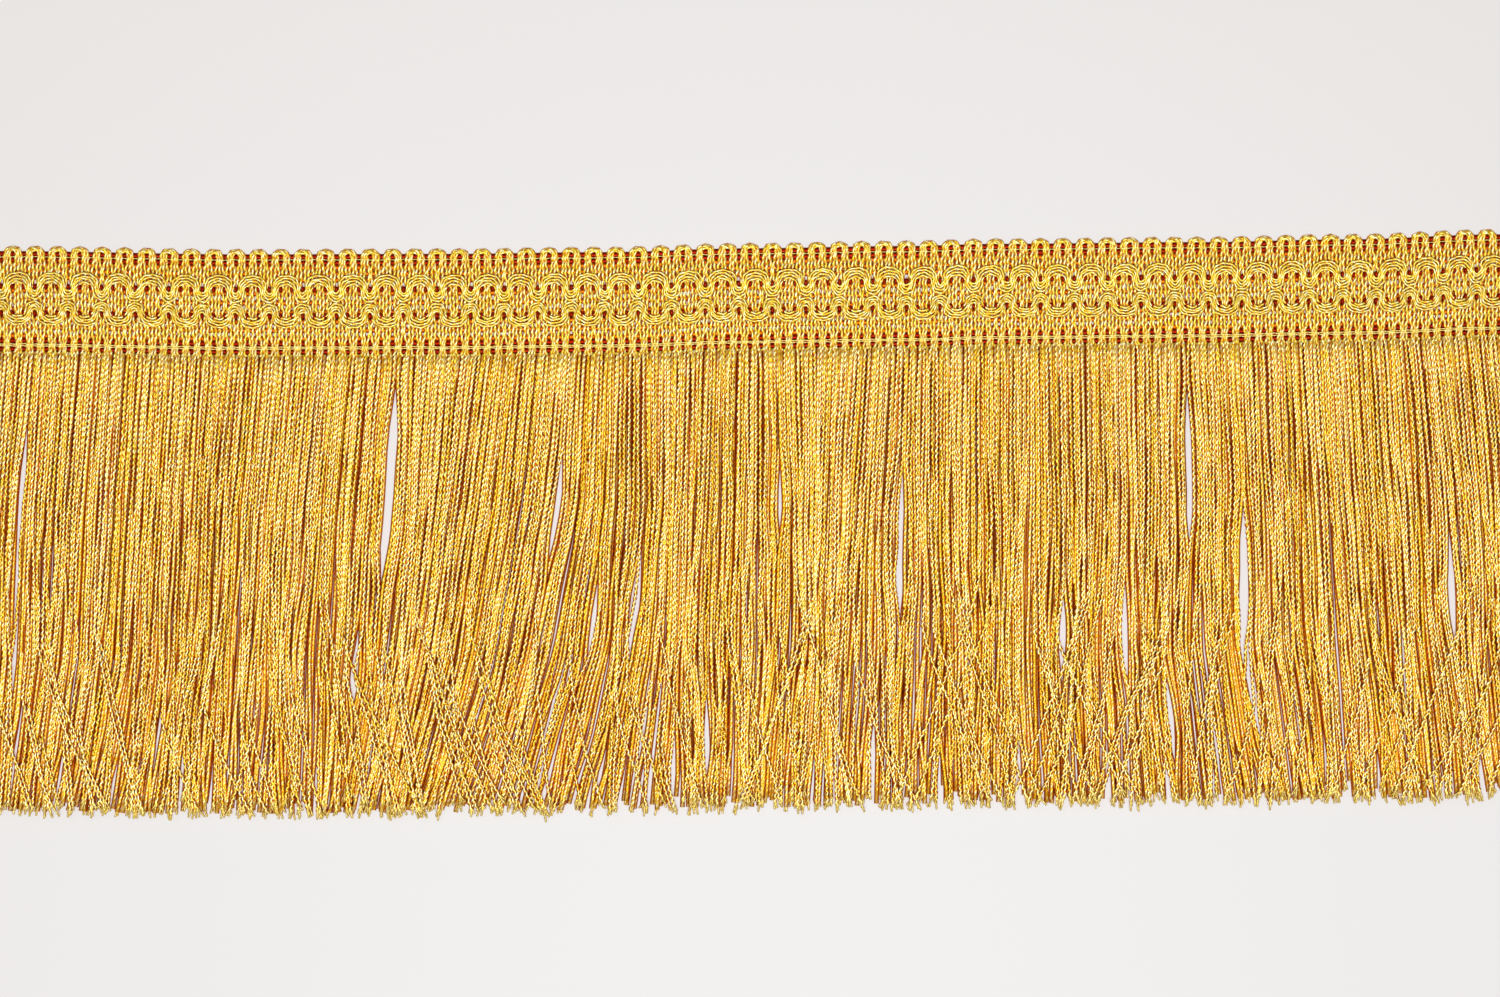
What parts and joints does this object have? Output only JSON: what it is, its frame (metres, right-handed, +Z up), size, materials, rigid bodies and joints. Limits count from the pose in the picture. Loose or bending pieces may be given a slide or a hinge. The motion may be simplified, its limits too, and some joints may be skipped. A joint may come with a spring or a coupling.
{
  "type": "tassel fringe trim",
  "caption": "Cut length of fringe trim lying flat: looped heading with a scalloped edge and two gimp waves, over a skirt of cut twisted cords.",
  "frame": {"origin": "middle of the heading's back face, half way along the cut length, on the surface it lies on", "axes": "+X along the trim, +Y from the cord tips towards the scalloped edge, +Z up from the surface through the trim's face"},
  "size_m": [0.3069, 0.1055, 0.0021],
  "materials": {
    "heading_yarn": "satin gold rayon yarn, looped and chain stitched",
    "gimp_braid": "satin gold rayon yarns laid side by side",
    "fringe_cord": "lustrous gold rayon cord with a visible twist"
  },
  "bodies": {
    "root": {"heading": "heading_yarn", "gimp_upper": "gimp_braid", "gimp_lower": "gimp_braid", "fringe": "fringe_cord"}
  },
  "joints": []
}
